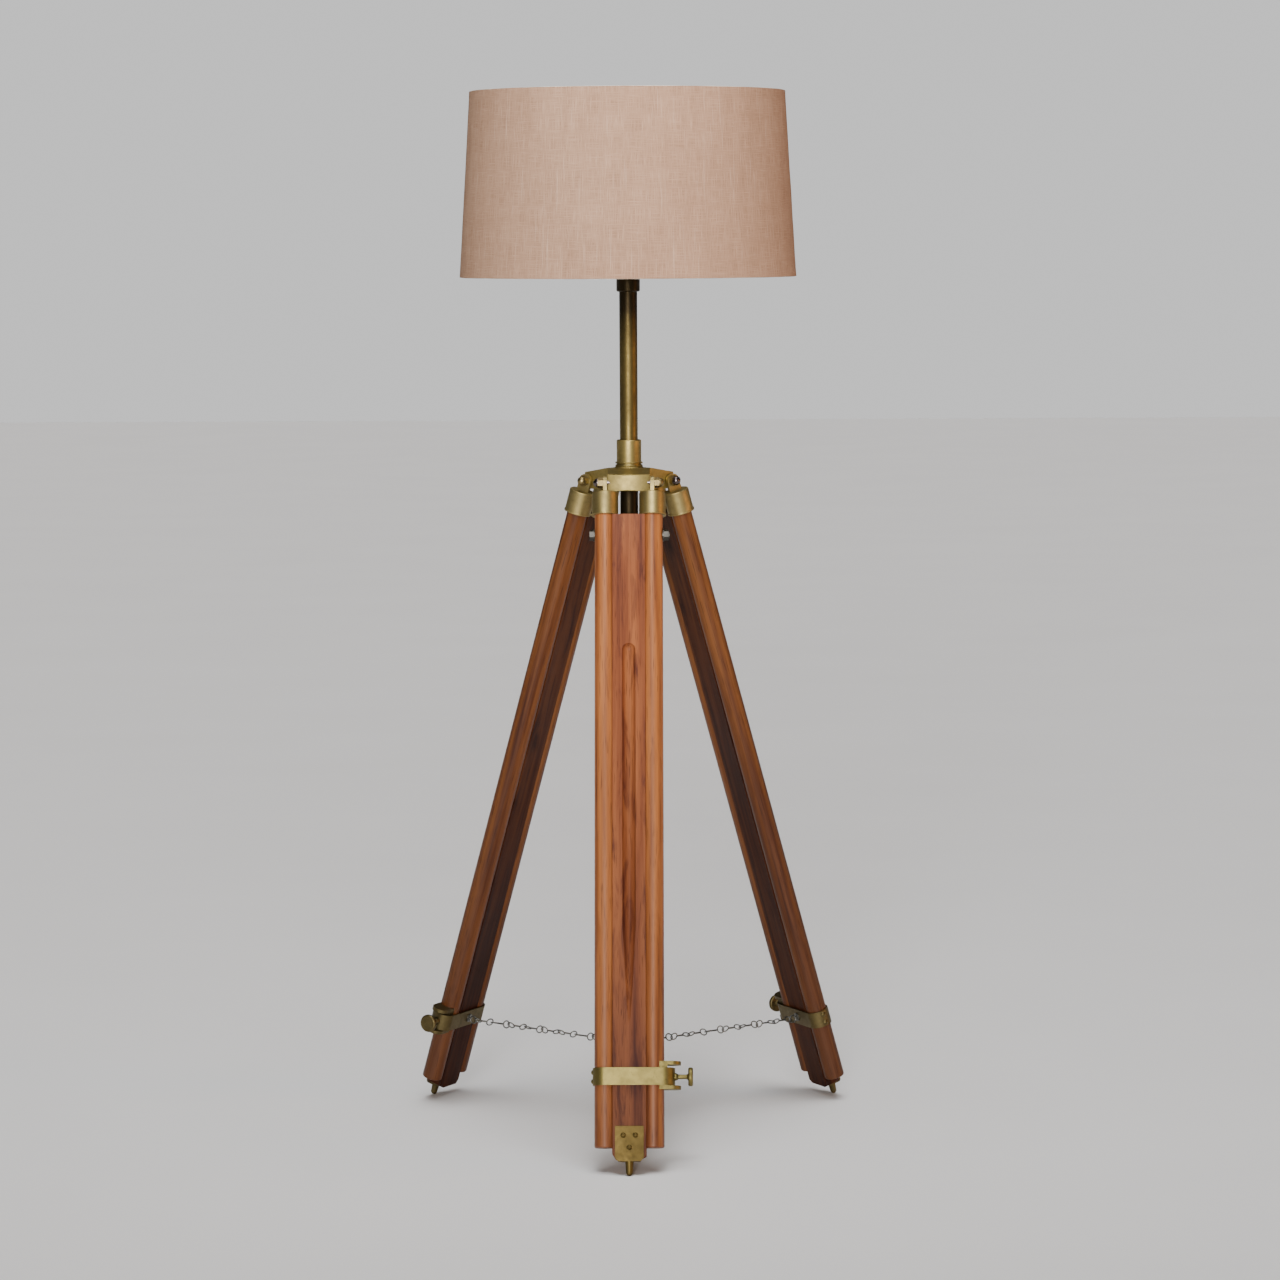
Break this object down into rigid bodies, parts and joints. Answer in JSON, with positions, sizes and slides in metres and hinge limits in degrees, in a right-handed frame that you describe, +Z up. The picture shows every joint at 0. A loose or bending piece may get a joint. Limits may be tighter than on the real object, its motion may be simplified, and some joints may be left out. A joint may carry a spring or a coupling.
{
  "type": "tripod floor lamp",
  "caption": "Wooden tripod floor lamp with hinged telescoping legs, brass head and clamps, a spreader chain, a stem and a linen drum shade.",
  "frame": {"origin": "on the floor, on the stem's axis, midway between the three ground pins", "axes": "+Z up along the stem; -Y towards the front leg; +X to the right seen from the front"},
  "size_m": [0.5984, 0.5631, 1.417],
  "materials": {
    "antique_brass": "aged satin brass",
    "bright_brass": "worn brass",
    "dark_chrome": "polished dark",
    "bush_plastic": "matte black",
    "zinc_steel": "zinc plated",
    "ceramic": "glazed",
    "wire_steel": "white powder coat",
    "shade_lining": "matt",
    "shade_linen": "slub linen weave",
    "cap_aluminium": "satin",
    "bulb_glass": "clear",
    "filament_glass": "coated filament",
    "chain_steel": "dark oiled",
    "rod_wood": "satin varnish",
    "board_wood": "satin varnish"
  },
  "bodies": {
    "lamp_head": {"tripod_head": "antique_brass", "stem_tube": "antique_brass", "stem_end_bush": "bush_plastic", "stem_coupling": "antique_brass", "hinge_bolts": "dark_chrome", "hinge_nuts": "bright_brass", "holder_nipple": "zinc_steel", "holder_cup": "antique_brass", "holder_shell": "antique_brass", "holder_insulator": "ceramic", "holder_contact": "bright_brass", "holder_screw_shell": "bright_brass", "shade_rings": "antique_brass", "shade_frame": "wire_steel", "shade_liner": "shade_lining", "shade_fabric": "shade_linen", "chain_ring": "chain_steel"},
    "bulb": {"bulb_cap": "cap_aluminium", "bulb_glass": "bulb_glass", "bulb_filaments": "filament_glass"},
    "front_leg": {"front_leg_ferrules": "antique_brass", "front_leg_rods": "rod_wood", "front_cross_bolt": "zinc_steel", "front_clamp_band": "antique_brass", "front_clamp_saddle": "antique_brass", "front_band_screws": "bright_brass", "front_chain_eye": "chain_steel"},
    "front_slide": {"front_inner_board": "board_wood", "front_foot_shoe": "antique_brass", "front_foot_screws": "bright_brass"},
    "front_clamp_knob": {"front_thumbscrew": "antique_brass"},
    "front_chain_at_eye": {"front_eye_chain": "chain_steel"},
    "front_chain_at_ring": {"front_ring_chain": "chain_steel"},
    "right_leg": {"right_leg_ferrules": "antique_brass", "right_leg_rods": "rod_wood", "right_cross_bolt": "zinc_steel", "right_clamp_band": "antique_brass", "right_clamp_saddle": "antique_brass", "right_band_screws": "bright_brass", "right_chain_eye": "chain_steel"},
    "right_slide": {"right_inner_board": "board_wood", "right_foot_shoe": "antique_brass", "right_foot_screws": "bright_brass"},
    "right_clamp_knob": {"right_thumbscrew": "antique_brass"},
    "right_chain_at_eye": {"right_eye_chain": "chain_steel"},
    "right_chain_at_ring": {"right_ring_chain": "chain_steel"},
    "left_leg": {"left_leg_ferrules": "antique_brass", "left_leg_rods": "rod_wood", "left_cross_bolt": "zinc_steel", "left_clamp_band": "antique_brass", "left_clamp_saddle": "antique_brass", "left_band_screws": "bright_brass", "left_chain_eye": "chain_steel"},
    "left_slide": {"left_inner_board": "board_wood", "left_foot_shoe": "antique_brass", "left_foot_screws": "bright_brass"},
    "left_clamp_knob": {"left_thumbscrew": "antique_brass"},
    "left_chain_at_eye": {"left_eye_chain": "chain_steel"},
    "left_chain_at_ring": {"left_ring_chain": "chain_steel"}
  },
  "joints": [
    {"name": "bulb_unscrew", "type": "hinge", "parent": "lamp_head", "child": "bulb", "pos_m": [0, 0, 1.20348], "axis": [0, 0, 1], "continuous": true},
    {"name": "front_leg_fold", "type": "hinge", "parent": "lamp_head", "child": "front_leg", "pos_m": [0, -0.05, 0.88948], "axis": [1, 0, 0], "range_deg": [0, 17], "deforming": ["front_eye_chain", "front_ring_chain"]},
    {"name": "front_board_slide", "type": "slide", "parent": "front_leg", "child": "front_slide", "axis": [0, -0.2924, -0.9563], "range_m": [0, 0.35]},
    {"name": "front_clamp_turn", "type": "hinge", "parent": "front_leg", "child": "front_clamp_knob", "pos_m": [0.0602, -0.28477, 0.12157], "axis": [1, 0, 0], "range_deg": [0, 720]},
    {"name": "front_chain_eye_swing", "type": "hinge", "parent": "front_leg", "child": "front_chain_at_eye", "pos_m": [0, -0.26182, 0.11455], "axis": [1, 0, 0], "range_deg": [-103.99, 0]},
    {"name": "front_chain_ring_swing", "type": "hinge", "parent": "lamp_head", "child": "front_chain_at_ring", "pos_m": [0, -0.0089, 0.10855], "axis": [1, 0, 0], "range_deg": [0, 85.67]},
    {"name": "right_leg_fold", "type": "hinge", "parent": "lamp_head", "child": "right_leg", "pos_m": [0.0433, 0.025, 0.88948], "axis": [-0.5, 0.866, 0], "range_deg": [0, 17], "deforming": ["right_eye_chain", "right_ring_chain"]},
    {"name": "right_board_slide", "type": "slide", "parent": "right_leg", "child": "right_slide", "axis": [0.2532, 0.1462, -0.9563], "range_m": [0, 0.35]},
    {"name": "right_clamp_turn", "type": "hinge", "parent": "right_leg", "child": "right_clamp_knob", "pos_m": [0.21652, 0.19452, 0.12157], "axis": [-0.5, 0.866, 0], "range_deg": [0, 720]},
    {"name": "right_chain_eye_swing", "type": "hinge", "parent": "right_leg", "child": "right_chain_at_eye", "pos_m": [0.22675, 0.13091, 0.11455], "axis": [-0.5, 0.866, 0], "range_deg": [-103.99, 0]},
    {"name": "right_chain_ring_swing", "type": "hinge", "parent": "lamp_head", "child": "right_chain_at_ring", "pos_m": [0.00771, 0.00445, 0.10855], "axis": [-0.5, 0.866, 0], "range_deg": [0, 85.67]},
    {"name": "left_leg_fold", "type": "hinge", "parent": "lamp_head", "child": "left_leg", "pos_m": [-0.0433, 0.025, 0.88948], "axis": [-0.5, -0.866, 0], "range_deg": [0, 17], "deforming": ["left_eye_chain", "left_ring_chain"]},
    {"name": "left_board_slide", "type": "slide", "parent": "left_leg", "child": "left_slide", "axis": [-0.2532, 0.1462, -0.9563], "range_m": [0, 0.35]},
    {"name": "left_clamp_turn", "type": "hinge", "parent": "left_leg", "child": "left_clamp_knob", "pos_m": [-0.27672, 0.09025, 0.12157], "axis": [-0.5, -0.866, 0], "range_deg": [0, 720]},
    {"name": "left_chain_eye_swing", "type": "hinge", "parent": "left_leg", "child": "left_chain_at_eye", "pos_m": [-0.22675, 0.13091, 0.11455], "axis": [-0.5, -0.866, 0], "range_deg": [-103.99, 0]},
    {"name": "left_chain_ring_swing", "type": "hinge", "parent": "lamp_head", "child": "left_chain_at_ring", "pos_m": [-0.00771, 0.00445, 0.10855], "axis": [-0.5, -0.866, 0], "range_deg": [0, 85.67]}
  ],
  "couplings": [
    {"joint": "front_chain_eye_swing", "follows": "front_leg_fold", "ratio": -6.1159},
    {"joint": "front_chain_ring_swing", "follows": "front_leg_fold", "ratio": 5.038},
    {"joint": "right_chain_eye_swing", "follows": "right_leg_fold", "ratio": -6.1159},
    {"joint": "right_chain_ring_swing", "follows": "right_leg_fold", "ratio": 5.038},
    {"joint": "left_chain_eye_swing", "follows": "left_leg_fold", "ratio": -6.1159},
    {"joint": "left_chain_ring_swing", "follows": "left_leg_fold", "ratio": 5.038}
  ]
}
